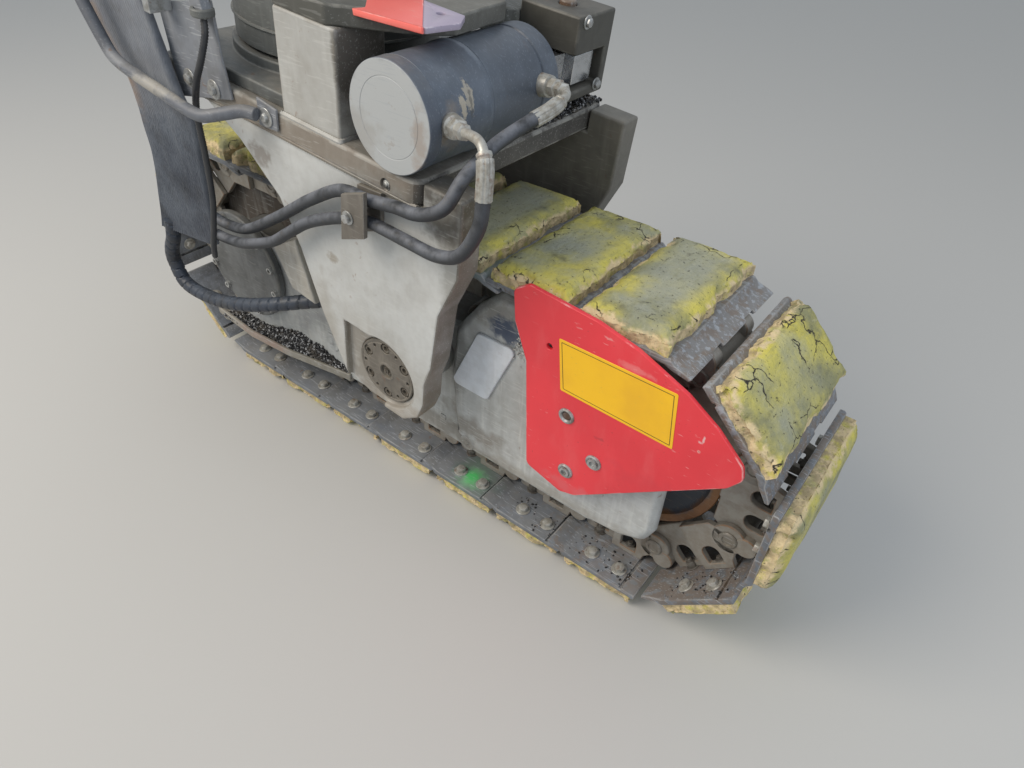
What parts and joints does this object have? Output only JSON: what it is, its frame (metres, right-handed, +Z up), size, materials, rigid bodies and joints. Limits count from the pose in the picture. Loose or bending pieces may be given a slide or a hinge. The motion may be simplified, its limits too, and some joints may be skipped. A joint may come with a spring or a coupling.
{
  "type": "crawler track unit of a cold milling machine",
  "caption": "Crawler track unit of a cold milling machine: shoes with plastic pads, rocking yoke, steering column drum and cylinder, hoses and a red end guard.",
  "frame": {"origin": "on the ground under the middle of the track, in the middle plane of the chain", "axes": "+X along the track towards the red guard, +Z up, -Y the outer side with the guard and the hoses"},
  "size_m": [1.6486, 0.5664, 1.0633],
  "materials": {
    "chain_steel": "worn cast steel with dry dirt",
    "shoe_steel": "pressed steel with brown dirt",
    "pad_plastic": "worn olive-yellow polyurethane",
    "wheel_steel": "rusty cast steel",
    "frame_steel": "grey paint under dirt",
    "ledge_steel": "scraped paint and rust",
    "yoke_steel": "warm light grey paint with rust spots",
    "column_steel": "dark grey paint",
    "cylinder_steel": "blue-grey paint, scuffed",
    "rod_chrome": "hard chrome",
    "zinc_steel": "zinc plate, dulled",
    "guard_red": "red enamel with scratches",
    "lug_red": "faded red enamel",
    "bar_steel": "worn dark paint",
    "hose_rubber": "hose rubber under dust",
    "sleeve_fabric": "woven hose sleeve"
  },
  "bodies": {
    "track": {"track_chain": "chain_steel", "track_shoes": "shoe_steel", "track_pads": "pad_plastic", "idler_wheel": "wheel_steel", "idler_axle": "chain_steel", "drive_sprocket": "chain_steel", "drive_motor": "frame_steel", "bottom_rollers": "wheel_steel", "roller_shafts": "chain_steel", "carrier_rollers": "wheel_steel", "frame_core": "frame_steel", "frame_side_outer": "frame_steel", "frame_side_inner": "frame_steel", "frame_ledge": "ledge_steel", "frame_cover": "yoke_steel", "guard_spacers": "frame_steel", "guard_plate": "guard_red", "trunnion_shaft": "chain_steel", "trunnion_collars": "frame_steel"},
    "yoke": {"leg_outer": "yoke_steel", "leg_inner": "yoke_steel", "flange_outer": "chain_steel", "flange_inner": "chain_steel", "leg_rib": "yoke_steel", "saddle_plate": "yoke_steel", "swivel_plate": "yoke_steel", "king_pin": "chain_steel", "post": "yoke_steel", "upper_plate": "yoke_steel", "lug_bracket": "lug_red", "cylinder_barrel": "cylinder_steel", "cylinder_cap": "cylinder_steel", "cylinder_cradle": "yoke_steel", "port_fittings": "zinc_steel", "hose_near": "hose_rubber", "hose_far": "hose_rubber", "hose_clamp": "yoke_steel", "guide_bar": "bar_steel", "bar_bracket": "bar_steel", "bolted_plate": "yoke_steel", "hose_sleeve": "sleeve_fabric", "sleeve_clamp": "zinc_steel", "conduit": "hose_rubber", "wrapped_hose": "hose_rubber", "hose_coupling": "zinc_steel"},
    "head": {"column_drum": "column_steel", "steering_arm": "column_steel", "rod_bracket": "column_steel", "rod_pin": "wheel_steel"},
    "rod": {"piston_rod": "rod_chrome"}
  },
  "joints": [
    {"name": "oscillation", "type": "hinge", "parent": "track", "child": "yoke", "pos_m": [0.076, 0, 0.355], "axis": [0, 1, 0], "range_deg": [-14.4, 3.6]},
    {"name": "steering", "type": "hinge", "parent": "yoke", "child": "head", "pos_m": [-0.22041, 0, 0.88525], "axis": [0.0941, 0, 0.9956], "range_deg": [-6, 6]},
    {"name": "rod_slide", "type": "slide", "parent": "yoke", "child": "rod", "axis": [0, 1, 0], "range_m": [-0.0401, 0.0401]}
  ],
  "couplings": [
    {"joint": "rod_slide", "follows": "steering", "m_per_rad": 0.382}
  ]
}
